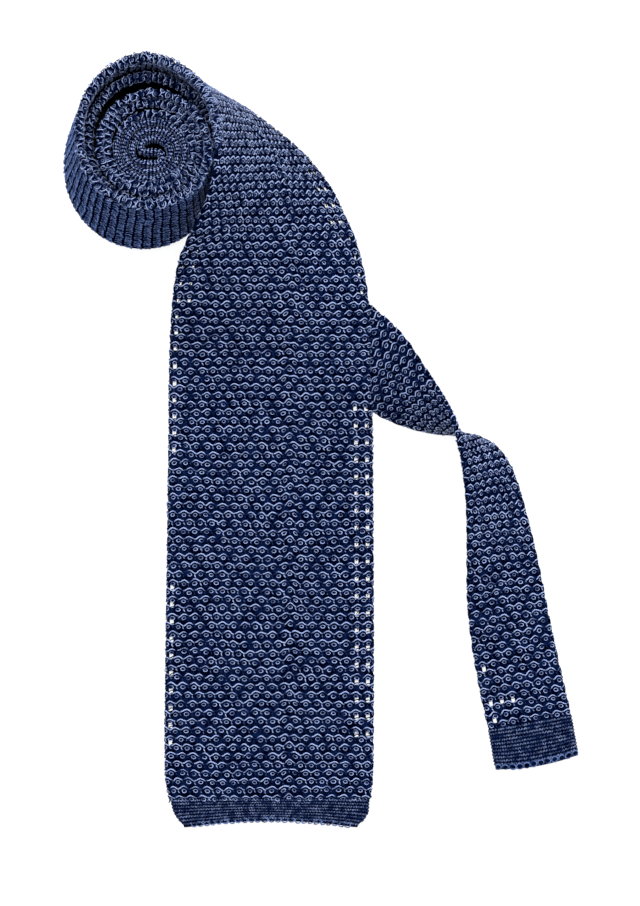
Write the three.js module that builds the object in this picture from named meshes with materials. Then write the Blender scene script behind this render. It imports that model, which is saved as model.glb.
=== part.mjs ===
// A square-ended knit tie, lying on a table: the wide blade lies flat and face up, rolls on to its
// edge, and winds with the narrow end into a coil that stands on edge. The narrow end leaves the coil
// under the blade, turns over once and lies flat beside it.
// Millimetres. X is across the blade, +Y runs from its tip towards the coil, +Z is up.
import * as THREE from 'three';

// Widths of the knitted tube, which lies closed as a band of two layers
const bladeWidth = 70;
const neckWidth = 30;
const tailWidth = 29;

// Thicknesses of both layers together
const bladeThickness = 3.0;
const tailThickness = 2.6;
const weltThickness = 2.4;
const wrapThickness = 2.15;

// Room between two pieces, or between two turns of the coil
const clearance = 0.3;

// Lengths of the stretches that lie outside the coil, along Y
const flatLength = 122;
const twistLength = 75;
const weltLength = 9;
const tailReach = 105.5;
const tailDrop = 182.7;
const tailWeltLength = 13;

// Heights in the coil: how far its edges sink towards the core, and its lean inwards in degrees
const rimHeight = 62;
const coreSink = 8;
const outerLean = 5;

// Turns out from the fold: where the coil ends for each strand, and where the knit turns fine
const bladeLastTurn = 3.25;
const tailLastTurn = 3.5;
const bladeFineTurn = 1.1;
const tailFineTurn = 1.6;

// Samples of the band in one turn of the coil, and between two rows of a table
const turnSteps = 24;
const rowSteps = 2;

// The band's outline: its rounded edges and the crease down its face, in shares of the thickness
const edgeRound = 0.55;
const edgeFlat = 0.4;
const creaseDepth = 0.2;

const turnPitch = 2 * (wrapThickness + clearance);
const coilRadius = 4.35 * turnPitch;
const DEGREE = Math.PI / 180;

// A table has named columns and one row for each place along the band
function readTable(columns, rows) {
  const table = { rows: rows.length };
  columns.forEach((column, index) => {
    table[column] = rows.map((row) => row[index]);
  });
  return table;
}

// The value of a column at any place, on a smooth curve through its rows
function valueAt(places, values, place) {
  const last = places.length - 1;
  let row = 0;
  while (row < last - 1 && place > places[row + 1]) row += 1;
  const slope = (i) => (values[i + 1] - values[i]) / (places[i + 1] - places[i]);
  const tangent = (i) => {
    if (i === 0) return slope(0);
    if (i === last) return slope(last - 1);
    const before = places[i] - places[i - 1];
    const after = places[i + 1] - places[i];
    return (slope(i - 1) * after + slope(i) * before) / (before + after);
  };
  const span = places[row + 1] - places[row];
  const t = (place - places[row]) / span;
  const rise = t * t * (3 - 2 * t) * (values[row + 1] - values[row]);
  const leave = t * (1 - t) * (1 - t) * span * tangent(row);
  const arrive = t * t * (1 - t) * span * tangent(row + 1);
  return values[row] + rise + leave - arrive;
}

// The coil by turns out from its fold, from its left side. Radius, in turn pitches, is that of the
// line between the two strands: the blade's runs outside it and the tail's inside. Part is how far
// each stands off that line, blade is how much of the blade's extra width is there, the sinks are
// how low each strand's edge lies, lean is its lean inwards and loose its thickening.
const coil = readTable(
  ['turns', 'radius', 'part', 'blade', 'bladeSink', 'tailSink', 'lean', 'loose'],
  [
    [0.00, 1.02, 0.00, 0.00, 1.00, 1.00, 0.00, 0.00],
    [0.25, 1.27, 0.00, 0.02, 1.00, 1.00, 0.00, 0.00],
    [0.50, 1.49, 0.00, 0.04, 0.97, 0.98, 0.00, 0.00],
    [0.75, 1.46, 0.00, 0.07, 0.93, 0.95, 0.00, 0.00],
    [1.00, 2.06, 0.00, 0.10, 0.88, 0.92, 0.00, 0.00],
    [1.25, 2.31, 0.00, 0.15, 0.80, 0.88, 0.00, 0.00],
    [1.50, 2.50, 0.00, 0.22, 0.72, 0.82, 0.00, 0.00],
    [1.75, 2.47, 0.00, 0.32, 0.60, 0.75, 0.00, 0.00],
    [2.00, 3.18, 0.00, 0.44, 0.45, 0.70, 0.10, 0.00],
    [2.25, 3.53, 0.00, 0.54, 0.32, 0.70, 0.35, 0.00],
    [2.50, 3.47, 0.00, 0.66, 0.20, 0.75, 0.60, 0.00],
    [2.75, 3.46, 0.00, 0.75, 0.10, 0.85, 1.00, 0.00],
    [3.00, 4.35, 0.02, 0.80, 0.02, 1.05, 1.00, 0.30],
    [3.25, 5.62, 0.14, 0.82, 0.00, 1.30, 0.60, 1.00],
    [3.38, 5.12, 0.10, 0.82, 0.00, 1.90, 0.50, 1.00],
    [3.50, 4.78, 0.04, 0.82, 0.00, 2.70, 0.80, 1.00],
  ],
);

// The fold at the core, by its middle line, in wrap thicknesses from the coil's axis. Heading is in
// degrees left of +Y. The blade's arm comes in, the band turns back, and the tail's arm goes out.
const foldIn = readTable(['across', 'along', 'heading'], [
  [-2.56, -0.93, 200],
  [-1.72, -1.49, 235],
  [-0.74, -1.60, 262],
]);
const foldOut = readTable(['across', 'along', 'heading'], [
  [-0.20, 0.15, 450],
  [-1.07, 0.20, 432],
  [-1.63, 0.52, 392],
]);
const foldRadius = 0.88;
const foldCentre = { across: 0.74, along: -0.70 };
const foldSteps = 6;
const foldEndTurn = 0.1;

// The blade outside the coil, by its left edge, which is the top edge in the coil. Across is in coil
// radii and along in twist lengths, both from the coil's axis. Roll is how far the left edge has
// turned up, in degrees, lift is in thicknesses and width in blade widths.
const bladeRows = readTable(['across', 'along', 'heading', 'roll', 'lift', 'width'], [
  [0.281, -1.147, 0, 0.0, 0.00, 0.986],
  [0.281, -1.053, 0, -2.0, 0.10, 0.981],
  [0.281, -0.960, 0, -3.4, 0.50, 0.974],
  [0.286, -0.860, 0, -2.5, 1.15, 0.969],
  [0.296, -0.760, 0, 2.0, 1.95, 0.966],
  [0.310, -0.667, 1, 8.0, 2.00, 0.969],
  [0.333, -0.587, 2, 14.0, 1.85, 0.974],
  [0.371, -0.507, 3, 20.0, 1.40, 0.980],
  [0.436, -0.427, 5, 27.0, 0.85, 0.986],
  [0.572, -0.347, 8, 35.3, 0.35, 0.986],
  [0.704, -0.280, 10, 42.5, 0.05, 0.986],
  [0.854, -0.193, 13, 50.0, 0.00, 0.986],
  [0.948, -0.093, 16, 57.0, 0.00, 0.974],
  [0.981, 0.013, 19, 64.0, 0.00, 0.964],
  [0.957, 0.107, 22, 70.0, 0.00, 0.954],
  [0.887, 0.187, 28, 75.0, 0.00, 0.943],
  [0.741, 0.261, 40, 79.5, 0.00, 0.929],
  [0.530, 0.323, 54, 83.0, 0.00, 0.914],
  [0.277, 0.371, 71, 85.5, 0.00, 0.906],
]);

// The blade's flat front, from its tip end up to the first row above, and its welt with the rounded
// corners. Reach is in flat lengths or welt lengths, and inset and width are in blade widths, with
// inset taken from the left edge at the first row above.
const flatRows = readTable(['reach', 'inset', 'width'], [
  [0.00, 0.004, 0.972],
  [0.06, -0.012, 0.998],
  [0.20, -0.014, 1.003],
  [0.45, -0.010, 1.000],
  [0.75, -0.004, 0.992],
  [1.00, 0.000, 0.985],
]);
const weltRows = readTable(['reach', 'inset', 'width'], [
  [0.00, 0.078, 0.835],
  [0.12, 0.058, 0.880],
  [0.45, 0.030, 0.935],
  [0.97, 0.013, 0.955],
]);

// The narrow end outside the coil, by its middle line. Reach and drop are shares of the tail's own
// lengths, from where it leaves the coil on its right. Its top edge turns right, down and left.
const tailRows = readTable(['reach', 'drop', 'heading', 'roll', 'lift', 'width'], [
  [0.017, 0.049, 190, 100, 3.62, 0.966],
  [0.052, 0.104, 203, 122, 1.92, 0.966],
  [0.125, 0.164, 220, 150, 0.73, 0.966],
  [0.225, 0.216, 229, 169, 0.15, 0.966],
  [0.343, 0.265, 231, 180, 0.00, 0.966],
  [0.462, 0.323, 228, 189.5, 0.00, 0.966],
  [0.562, 0.389, 224, 219, 0.00, 0.966],
  [0.612, 0.418, 219, 232, 0.00, 0.966],
  [0.663, 0.442, 217, 245, 0.00, 0.955],
  [0.707, 0.460, 216, 258, 0.00, 0.945],
  [0.745, 0.473, 213, 272, 0.00, 0.938],
  [0.785, 0.487, 208, 289, 0.00, 0.931],
  [0.824, 0.511, 202, 303, 0.00, 0.921],
  [0.851, 0.546, 197, 313, 0.00, 0.914],
  [0.871, 0.593, 194, 320, 0.00, 0.910],
  [0.890, 0.662, 190, 330, 0.00, 0.917],
  [0.903, 0.722, 189, 341, 0.00, 0.928],
  [0.917, 0.783, 188, 353, 0.00, 0.941],
  [0.937, 0.854, 188, 360, 0.00, 0.969],
  [0.963, 0.930, 189, 360, 0.00, 0.990],
  [0.990, 1.000, 190, 360, 0.00, 0.993],
]);

// One section of the band: its middle, its directions across and through, and its size. Edges are
// level with the ground that they meet, so the height follows from the width and the roll.
function section({ x, y, heading, roll, base, width, thickness, byEdge }) {
  const turn = heading * DEGREE;
  const tilt = roll * DEGREE;
  const right = new THREE.Vector3(Math.cos(turn), Math.sin(turn), 0);
  const ahead = new THREE.Vector3(-Math.sin(turn), Math.cos(turn), 0);
  const up = new THREE.Vector3(0, 0, 1);
  const reach = byEdge ? (width / 2) * Math.cos(tilt) : 0;
  const rise = (Math.abs(Math.sin(tilt)) * width + Math.abs(Math.cos(tilt)) * thickness) / 2;
  return {
    middle: new THREE.Vector3(x, y, base + rise).addScaledVector(right, reach),
    across: right.clone().multiplyScalar(-Math.cos(tilt)).addScaledVector(up, Math.sin(tilt)),
    through: up.clone().multiplyScalar(Math.cos(tilt)).addScaledVector(right, Math.sin(tilt)),
    ahead,
    width,
    thickness,
  };
}

// A section of one of the coil's two strands
function coilSection(strand, turns) {
  const at = (column) => valueAt(coil.turns, coil[column], turns);
  const isBlade = strand === 'blade';
  const outward = isBlade ? 1 : -1;
  const angle = Math.PI * (1 - 2 * turns);
  const freeThickness = isBlade ? bladeThickness : tailThickness;
  const thickness = wrapThickness + at('loose') * (freeThickness - wrapThickness);
  const gap = clearance / 2 + at('part') * turnPitch;
  const radius = at('radius') * turnPitch + outward * (gap + thickness / 2);
  const bladeShare = isBlade ? at('blade') : 0;
  const tailShare = isBlade ? 0 : turns / tailLastTurn;
  const width = neckWidth + bladeShare * (bladeWidth - neckWidth) + tailShare * (tailWidth - neckWidth);
  const lean = at('lean') * outerLean;
  const top = rimHeight - coreSink * at(isBlade ? 'bladeSink' : 'tailSink');
  return section({
    x: radius * Math.cos(angle),
    y: radius * Math.sin(angle),
    heading: angle / DEGREE + (isBlade ? 0 : 180),
    roll: 90 - outward * lean,
    base: Math.max(0, top - width * Math.cos(lean * DEGREE)),
    width,
    thickness,
    byEdge: true,
  });
}

// The sections of one strand between two places in the coil, outwards or inwards
function coilStretch(strand, from, to) {
  const steps = Math.max(2, Math.round(Math.abs(to - from) * turnSteps));
  return Array.from({ length: steps + 1 }, (_, i) => coilSection(strand, from + ((to - from) * i) / steps));
}

// The sections of a table's rows, with samples between them
function rowStretch(table, makeSection) {
  const places = table.heading.map((_, row) => row);
  const steps = (table.rows - 1) * rowSteps;
  return Array.from({ length: steps + 1 }, (_, i) => {
    const place = i / rowSteps;
    return makeSection((column) => valueAt(places, table[column], place));
  });
}

// A closed solid along a list of sections: flattened, with round edges and a shallow crease down
// the middle of its face
function bandSolid(name, sections, material) {
  const outline = ({ width, thickness }) => {
    const side = width / 2;
    const face = thickness / 2;
    const round = side - edgeRound * thickness;
    return [
      [side, -face * edgeFlat],
      [side, face * edgeFlat],
      [round, face],
      [0, face * (1 - creaseDepth)],
      [-round, face],
      [-side, face * edgeFlat],
      [-side, -face * edgeFlat],
      [-round, -face],
      [0, -face],
      [round, -face],
    ];
  };
  const positions = [];
  const sides = outline(sections[0]).length;
  sections.forEach((s) => {
    outline(s).forEach(([across, through]) => {
      const point = s.middle.clone().addScaledVector(s.across, across).addScaledVector(s.through, through);
      positions.push(point.x, point.y, point.z);
    });
  });
  const faces = [];
  for (let ring = 0; ring < sections.length - 1; ring += 1) {
    for (let i = 0; i < sides; i += 1) {
      const a = ring * sides + i;
      const b = ring * sides + ((i + 1) % sides);
      faces.push(a, b, b + sides, a, b + sides, a + sides);
    }
  }
  const end = (sections.length - 1) * sides;
  for (let i = 1; i < sides - 1; i += 1) {
    faces.push(0, i + 1, i, end, end + i, end + i + 1);
  }
  const geometry = new THREE.BufferGeometry();
  geometry.setAttribute('position', new THREE.Float32BufferAttribute(positions, 3));
  geometry.setIndex(faces);
  geometry.computeVertexNormals();
  const mesh = new THREE.Mesh(geometry, material);
  mesh.name = name;
  return mesh;
}

// Moves the first section of a stretch on along the band, to leave room to the piece before it
function leaveRoom(sections) {
  const [first, ...rest] = sections;
  const onward = rest[0].middle.clone().sub(first.middle).normalize();
  const middle = first.middle.clone().addScaledVector(onward, clearance);
  return [{ ...first, middle }, ...rest];
}

// The blade's free stretch, from its table
const rowsOfBlade = rowStretch(bladeRows, (at) => section({
  x: at('across') * coilRadius,
  y: at('along') * twistLength,
  heading: at('heading'),
  roll: at('roll'),
  base: at('lift') * bladeThickness,
  width: at('width') * bladeWidth,
  thickness: bladeThickness,
  byEdge: true,
}));

// The flat front and the welt at its tip
const flatLeft = bladeRows.across[0] * coilRadius;
const flatTop = bladeRows.along[0] * twistLength;
const flatBottom = flatTop - flatLength;

function flatSections(table, start, length, thickness) {
  return table.reach.map((reach, row) => section({
    x: flatLeft + table.inset[row] * bladeWidth,
    y: start + reach * length,
    heading: 0,
    roll: 0,
    base: 0,
    width: table.width[row] * bladeWidth,
    thickness,
    byEdge: true,
  }));
}

const rowsOfFlat = flatSections(flatRows, flatBottom, flatLength, bladeThickness);
const rowsOfWelt = flatSections(weltRows, flatBottom - weltLength, weltLength, weltThickness);

// The fold at the core, between the coil's two strands
function foldSection(across, along, heading) {
  return section({
    x: across * wrapThickness,
    y: along * wrapThickness,
    heading,
    roll: 90,
    base: rimHeight - coreSink - neckWidth,
    width: neckWidth,
    thickness: wrapThickness,
    byEdge: true,
  });
}

const foldTurn = Array.from({ length: foldSteps + 1 }, (_, i) => {
  const angle = Math.PI * (i / foldSteps - 0.5);
  const across = foldCentre.across + foldRadius * Math.cos(angle);
  const along = foldCentre.along + foldRadius * Math.sin(angle);
  return foldSection(across, along, angle / DEGREE + 360);
});
const foldArm = (table) => table.heading.map(
  (heading, row) => foldSection(table.across[row], table.along[row], heading),
);

// The narrow end's free stretch and the welt at its tip
const tailStart = coilSection('tail', tailLastTurn).middle;
const rowsOfTail = rowStretch(tailRows, (at) => section({
  x: tailStart.x + at('reach') * tailReach,
  y: tailStart.y - at('drop') * tailDrop,
  heading: at('heading'),
  roll: at('roll'),
  base: at('lift') * tailThickness,
  width: at('width') * tailWidth,
  thickness: tailThickness,
  byEdge: false,
}));
const tailEnd = rowsOfTail[rowsOfTail.length - 1];
const rowsOfTailWelt = [0, 0.5, 1].map((reach) => ({
  ...tailEnd,
  middle: tailEnd.middle.clone().addScaledVector(tailEnd.ahead, reach * tailWeltLength),
  thickness: weltThickness,
}));

const coarseKnit = new THREE.MeshStandardMaterial({ color: 0x24305f, roughness: 0.62, metalness: 0 });
const fineKnit = new THREE.MeshStandardMaterial({ color: 0x2c3b70, roughness: 0.58, metalness: 0 });

const pieces = [
  bandSolid('blade_welt', rowsOfWelt, fineKnit),
  bandSolid('blade', leaveRoom([
    ...rowsOfFlat.slice(0, -1),
    ...rowsOfBlade,
    coilSection('blade', bladeLastTurn),
  ]), coarseKnit),
  bandSolid('blade_wrap', leaveRoom(coilStretch('blade', bladeLastTurn, bladeFineTurn)), coarseKnit),
  bandSolid('neckband', leaveRoom([
    ...coilStretch('blade', bladeFineTurn, 0),
    ...foldArm(foldIn),
    ...foldTurn,
    ...foldArm(foldOut),
    ...coilStretch('tail', foldEndTurn, tailFineTurn),
  ]), fineKnit),
  bandSolid('tail_wrap', leaveRoom(coilStretch('tail', tailFineTurn, tailLastTurn)), coarseKnit),
  bandSolid('tail', leaveRoom(rowsOfTail), coarseKnit),
  bandSolid('tail_welt', leaveRoom(rowsOfTailWelt), fineKnit),
];

// The origin is under the middle of the tie, on the table
const tie = new THREE.Group();
tie.add(...pieces);
const box = new THREE.Box3().setFromObject(tie);
const centre = box.getCenter(new THREE.Vector3());
tie.position.set(-centre.x, -centre.y, -box.min.z);

export default tie;
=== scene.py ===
import math
from bisect import bisect_right
from collections import namedtuple

import bpy
from mathutils import Matrix, Vector


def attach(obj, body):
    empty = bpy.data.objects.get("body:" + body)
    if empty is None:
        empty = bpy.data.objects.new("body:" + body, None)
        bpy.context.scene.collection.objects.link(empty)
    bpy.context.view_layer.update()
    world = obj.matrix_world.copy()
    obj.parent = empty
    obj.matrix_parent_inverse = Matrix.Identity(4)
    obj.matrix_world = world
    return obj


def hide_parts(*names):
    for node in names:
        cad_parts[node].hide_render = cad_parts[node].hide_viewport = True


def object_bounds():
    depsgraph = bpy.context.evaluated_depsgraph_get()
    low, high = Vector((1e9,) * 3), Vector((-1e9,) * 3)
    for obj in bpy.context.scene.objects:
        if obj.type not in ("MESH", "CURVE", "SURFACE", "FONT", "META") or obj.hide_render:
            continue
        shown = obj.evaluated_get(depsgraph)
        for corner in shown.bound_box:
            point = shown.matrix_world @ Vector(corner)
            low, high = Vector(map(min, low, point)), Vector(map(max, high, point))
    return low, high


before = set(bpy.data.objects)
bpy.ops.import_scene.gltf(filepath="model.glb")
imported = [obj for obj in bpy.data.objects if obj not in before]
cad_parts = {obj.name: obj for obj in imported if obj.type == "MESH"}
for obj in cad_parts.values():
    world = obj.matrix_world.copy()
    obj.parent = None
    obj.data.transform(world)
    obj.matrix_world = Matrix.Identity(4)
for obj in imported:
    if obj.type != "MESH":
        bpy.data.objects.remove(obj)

cad_low, cad_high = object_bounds()

# The camera
# It looks down on the tie from almost straight above, a little from its tip's left, through a long
# lens. The picture is 640 by 906 pixels, and its long side takes the sensor's 36 mm.
def add_object(name, data):
    made = bpy.data.objects.new(name, data)
    bpy.context.scene.collection.objects.link(made)
    return made


camera_place = Vector((-0.0603, -0.1161, 1.2950))
camera_target = Vector((-0.0003, -0.0011, 0.0))
camera_data = bpy.data.cameras.new("camera")
camera_data.lens = 153.9
camera = add_object("camera", camera_data)
look = (camera_target - camera_place).normalized()
picture_right = look.cross(Vector((0, 1, 0))).normalized()
picture_up = picture_right.cross(look)
camera_turn = Matrix((picture_right, picture_up, -look)).transposed().to_4x4()
camera.matrix_world = Matrix.Translation(camera_place) @ camera_turn
bpy.context.scene.camera = camera

# The light
# A bright plain room, a wide soft lamp overhead that adds its shine to the painted highlight along the top
# of each yarn, and a long weaker one from the right that catches the faces that lean over.
bpy.context.scene.view_settings.view_transform = "Standard"
room = bpy.data.worlds.new("room")
room.use_nodes = True
room_light = room.node_tree.nodes["Background"]
room_light.inputs["Color"].default_value = (0.93, 0.96, 1.0, 1)
room_light.inputs["Strength"].default_value = 0.45
bpy.context.scene.world = room


def soft_lamp(name, place, width, height, power):
    data = bpy.data.lights.new(name, "AREA")
    data.shape = "RECTANGLE"
    data.size = width
    data.size_y = height
    data.energy = power
    lamp = add_object(name, data)
    aim = (-Vector(place)).to_track_quat("-Z", "Y")
    lamp.matrix_world = Matrix.Translation(place) @ aim.to_matrix().to_4x4()


soft_lamp("overhead lamp", (-0.20, 0.30, 1.5), 1.0, 1.0, 26.0)
soft_lamp("side lamp", (0.9, 0.5, 0.55), 0.5, 0.9, 6.5)


# The floor
# A plain pale surface under the tie. It glows a little, as a light table does, so that the open
# stitches at the band's edges show white. Under the coil its glow and its colour are painted out, as painted
# shade.
def add_node(tree, kind, inputs=(), **settings):
    node = tree.nodes.new(kind)
    for setting, value in settings.items():
        setattr(node, setting, value)
    for socket, value in dict(inputs).items():
        if isinstance(value, bpy.types.NodeSocket):
            tree.links.new(value, node.inputs[socket])
        else:
            node.inputs[socket].default_value = value
    return node


def new_material(name):
    material = bpy.data.materials.new(name)
    material.use_nodes = True
    return material, material.node_tree, material.node_tree.nodes["Principled BSDF"]


floor_half = 3.0
floor_height = cad_low.z - 0.0002
floor_mesh = bpy.data.meshes.new("floor")
floor_mesh.from_pydata(
    [(x * floor_half, y * floor_half, floor_height) for x, y in ((-1, -1), (1, -1), (1, 1), (-1, 1))],
    [],
    [(0, 1, 2, 3)],
)
floor = add_object("floor", floor_mesh)
floor_paint, floor_tree, floor_finish = new_material("pale floor")
floor_glow = 0.86
floor_albedo = 0.22
# Painted shade: inside this radius round this centre the floor is painted black and does not glow
painted_shade_centre = (-0.0562, 0.0987, cad_low.z)
painted_shade_radius = 0.0276
glow_radius = 0.0284
floor_place = floor_tree.nodes.new("ShaderNodeTexCoord").outputs["Object"]
off_axis = add_node(
    floor_tree, "ShaderNodeVectorMath", {0: floor_place, 1: painted_shade_centre}, operation="DISTANCE"
)
# Glow and colour both fade to nothing in the disc of painted shade under the coil
for floor_socket, full in (("Emission Strength", floor_glow), ("Base Color", floor_albedo)):
    reach = {"Value": off_axis.outputs["Value"], "From Min": painted_shade_radius, "From Max": glow_radius}
    lit = add_node(floor_tree, "ShaderNodeMapRange", {**reach, "To Max": full})
    floor_tree.links.new(lit.outputs[0], floor_finish.inputs[floor_socket])
floor_finish.inputs["Roughness"].default_value = 0.8
floor_finish.inputs["Emission Color"].default_value = (1, 1, 1, 1)
floor_mesh.materials.append(floor_paint)

# The blade
# The wide end is one knitted tube of silk yarn that lies closed, as a band of two layers. It lies
# flat from its tip, rolls on to its edge and goes into the coil. Below is the whole band's path.
blade_width = 0.070
neck_width = 0.030
tail_width = 0.029
blade_thickness = 0.0030
tail_thickness = 0.0026
welt_thickness = 0.0024
wrap_thickness = 0.00215
clearance = 0.0003
flat_length = 0.122
twist_length = 0.075
welt_length = 0.009
tail_reach = 0.1055
tail_drop = 0.1827
tail_welt_length = 0.013
rim_height = 0.062
core_sink = 0.008
outer_lean = 5
blade_last_turn = 3.25
tail_last_turn = 3.5
blade_fine_turn = 1.1
tail_fine_turn = 1.6
turn_steps = 72
row_steps = 6
turn_pitch = 2 * (wrap_thickness + clearance)
coil_radius = 4.35 * turn_pitch

Section = namedtuple("Section", "middle across through ahead width thickness")


def read_table(columns, rows):
    return {column: [row[index] for row in rows] for index, column in enumerate(columns)}


def value_at(places, values, place):
    last = len(places) - 1
    row = min(max(bisect_right(places, place) - 1, 0), last - 1)

    def slope(i):
        return (values[i + 1] - values[i]) / (places[i + 1] - places[i])

    def tangent(i):
        if i == 0:
            return slope(0)
        if i == last:
            return slope(last - 1)
        before = places[i] - places[i - 1]
        after = places[i + 1] - places[i]
        return (slope(i - 1) * after + slope(i) * before) / (before + after)

    span = places[row + 1] - places[row]
    t = (place - places[row]) / span
    rise = t * t * (3 - 2 * t) * (values[row + 1] - values[row])
    leave = t * (1 - t) * (1 - t) * span * tangent(row)
    arrive = t * t * (1 - t) * span * tangent(row + 1)
    return values[row] + rise + leave - arrive


coil = read_table(
    ("turns", "radius", "part", "blade", "blade_sink", "tail_sink", "lean", "loose"),
    (
        (0.00, 1.02, 0.00, 0.00, 1.00, 1.00, 0.00, 0.00),
        (0.25, 1.27, 0.00, 0.02, 1.00, 1.00, 0.00, 0.00),
        (0.50, 1.49, 0.00, 0.04, 0.97, 0.98, 0.00, 0.00),
        (0.75, 1.46, 0.00, 0.07, 0.93, 0.95, 0.00, 0.00),
        (1.00, 2.06, 0.00, 0.10, 0.88, 0.92, 0.00, 0.00),
        (1.25, 2.31, 0.00, 0.15, 0.80, 0.88, 0.00, 0.00),
        (1.50, 2.50, 0.00, 0.22, 0.72, 0.82, 0.00, 0.00),
        (1.75, 2.47, 0.00, 0.32, 0.60, 0.75, 0.00, 0.00),
        (2.00, 3.18, 0.00, 0.44, 0.45, 0.70, 0.10, 0.00),
        (2.25, 3.53, 0.00, 0.54, 0.32, 0.70, 0.35, 0.00),
        (2.50, 3.47, 0.00, 0.66, 0.20, 0.75, 0.60, 0.00),
        (2.75, 3.46, 0.00, 0.75, 0.10, 0.85, 1.00, 0.00),
        (3.00, 4.35, 0.02, 0.80, 0.02, 1.05, 1.00, 0.30),
        (3.25, 5.62, 0.14, 0.82, 0.00, 1.30, 0.60, 1.00),
        (3.38, 5.12, 0.10, 0.82, 0.00, 1.90, 0.50, 1.00),
        (3.50, 4.78, 0.04, 0.82, 0.00, 2.70, 0.80, 1.00),
    ),
)
fold_in = ((-2.56, -0.93, 200), (-1.72, -1.49, 235), (-0.74, -1.60, 262))
fold_out = ((-0.20, 0.15, 450), (-1.07, 0.20, 432), (-1.63, 0.52, 392))
fold_radius = 0.88
fold_centre = Vector((0.74, -0.70))
fold_steps = 12
fold_end_turn = 0.1
blade_rows = read_table(
    ("across", "along", "heading", "roll", "lift", "width"),
    (
        (0.281, -1.147, 0, 0.0, 0.00, 0.986),
        (0.281, -1.053, 0, -2.0, 0.10, 0.981),
        (0.281, -0.960, 0, -3.4, 0.50, 0.974),
        (0.286, -0.860, 0, -2.5, 1.15, 0.969),
        (0.296, -0.760, 0, 2.0, 1.95, 0.966),
        (0.310, -0.667, 1, 8.0, 2.00, 0.969),
        (0.333, -0.587, 2, 14.0, 1.85, 0.974),
        (0.371, -0.507, 3, 20.0, 1.40, 0.980),
        (0.436, -0.427, 5, 27.0, 0.85, 0.986),
        (0.572, -0.347, 8, 35.3, 0.35, 0.986),
        (0.704, -0.280, 10, 42.5, 0.05, 0.986),
        (0.854, -0.193, 13, 50.0, 0.00, 0.986),
        (0.948, -0.093, 16, 57.0, 0.00, 0.974),
        (0.981, 0.013, 19, 64.0, 0.00, 0.964),
        (0.957, 0.107, 22, 70.0, 0.00, 0.954),
        (0.887, 0.187, 28, 75.0, 0.00, 0.943),
        (0.741, 0.261, 40, 79.5, 0.00, 0.929),
        (0.530, 0.323, 54, 83.0, 0.00, 0.914),
        (0.277, 0.371, 71, 85.5, 0.00, 0.906),
    ),
)
flat_rows = (
    (0.00, 0.004, 0.972),
    (0.06, -0.012, 0.998),
    (0.20, -0.014, 1.003),
    (0.45, -0.010, 1.000),
    (0.75, -0.004, 0.992),
    (1.00, 0.000, 0.985),
)
welt_rows = (
    (0.00, 0.078, 0.835),
    (0.12, 0.058, 0.880),
    (0.45, 0.030, 0.935),
    (0.97, 0.013, 0.955),
)
tail_rows = read_table(
    ("reach", "drop", "heading", "roll", "lift", "width"),
    (
        (0.017, 0.049, 190, 100, 3.62, 0.966),
        (0.052, 0.104, 203, 122, 1.92, 0.966),
        (0.125, 0.164, 220, 150, 0.73, 0.966),
        (0.225, 0.216, 229, 169, 0.15, 0.966),
        (0.343, 0.265, 231, 180, 0.00, 0.966),
        (0.462, 0.323, 228, 189.5, 0.00, 0.966),
        (0.562, 0.389, 224, 219, 0.00, 0.966),
        (0.612, 0.418, 219, 232, 0.00, 0.966),
        (0.663, 0.442, 217, 245, 0.00, 0.955),
        (0.707, 0.460, 216, 258, 0.00, 0.945),
        (0.745, 0.473, 213, 272, 0.00, 0.938),
        (0.785, 0.487, 208, 289, 0.00, 0.931),
        (0.824, 0.511, 202, 303, 0.00, 0.921),
        (0.851, 0.546, 197, 313, 0.00, 0.914),
        (0.871, 0.593, 194, 320, 0.00, 0.910),
        (0.890, 0.662, 190, 330, 0.00, 0.917),
        (0.903, 0.722, 189, 341, 0.00, 0.928),
        (0.917, 0.783, 188, 353, 0.00, 0.941),
        (0.937, 0.854, 188, 360, 0.00, 0.969),
        (0.963, 0.930, 189, 360, 0.00, 0.990),
        (0.990, 1.000, 190, 360, 0.00, 0.993),
    ),
)


def section(x, y, heading, roll, base, width, thickness, by_edge=True):
    turn = math.radians(heading)
    tilt = math.radians(roll)
    right = Vector((math.cos(turn), math.sin(turn), 0))
    ahead = Vector((-math.sin(turn), math.cos(turn), 0))
    up = Vector((0, 0, 1))
    reach = width / 2 * math.cos(tilt) if by_edge else 0
    rise = (abs(math.sin(tilt)) * width + abs(math.cos(tilt)) * thickness) / 2
    middle = Vector((x, y, base + rise)) + right * reach
    across = up * math.sin(tilt) - right * math.cos(tilt)
    through = up * math.cos(tilt) + right * math.sin(tilt)
    return Section(middle, across, through, ahead, width, thickness)


def coil_section(strand, turns):
    def at(column):
        return value_at(coil["turns"], coil[column], turns)

    is_blade = strand == "blade"
    outward = 1 if is_blade else -1
    angle = math.pi * (1 - 2 * turns)
    free_thickness = blade_thickness if is_blade else tail_thickness
    thickness = wrap_thickness + at("loose") * (free_thickness - wrap_thickness)
    gap = clearance / 2 + at("part") * turn_pitch
    radius = at("radius") * turn_pitch + outward * (gap + thickness / 2)
    if is_blade:
        width = neck_width + at("blade") * (blade_width - neck_width)
    else:
        width = neck_width + turns / tail_last_turn * (tail_width - neck_width)
    lean = at("lean") * outer_lean
    top = rim_height - core_sink * at("blade_sink" if is_blade else "tail_sink")
    return section(
        radius * math.cos(angle),
        radius * math.sin(angle),
        math.degrees(angle) + (0 if is_blade else 180),
        90 - outward * lean,
        max(0, top - width * math.cos(math.radians(lean))),
        width,
        thickness,
    )


def coil_stretch(strand, start, end):
    steps = max(2, round(abs(end - start) * turn_steps))
    return [coil_section(strand, start + (end - start) * i / steps) for i in range(steps + 1)]


def row_stretch(table, make_section):
    places = range(len(table["heading"]))
    steps = (len(places) - 1) * row_steps
    return [
        make_section(lambda column: value_at(places, table[column], i / row_steps))
        for i in range(steps + 1)
    ]


def fold_section(across, along, heading):
    base = rim_height - core_sink - neck_width
    x = across * wrap_thickness
    y = along * wrap_thickness
    return section(x, y, heading, 90, base, neck_width, wrap_thickness)


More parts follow.
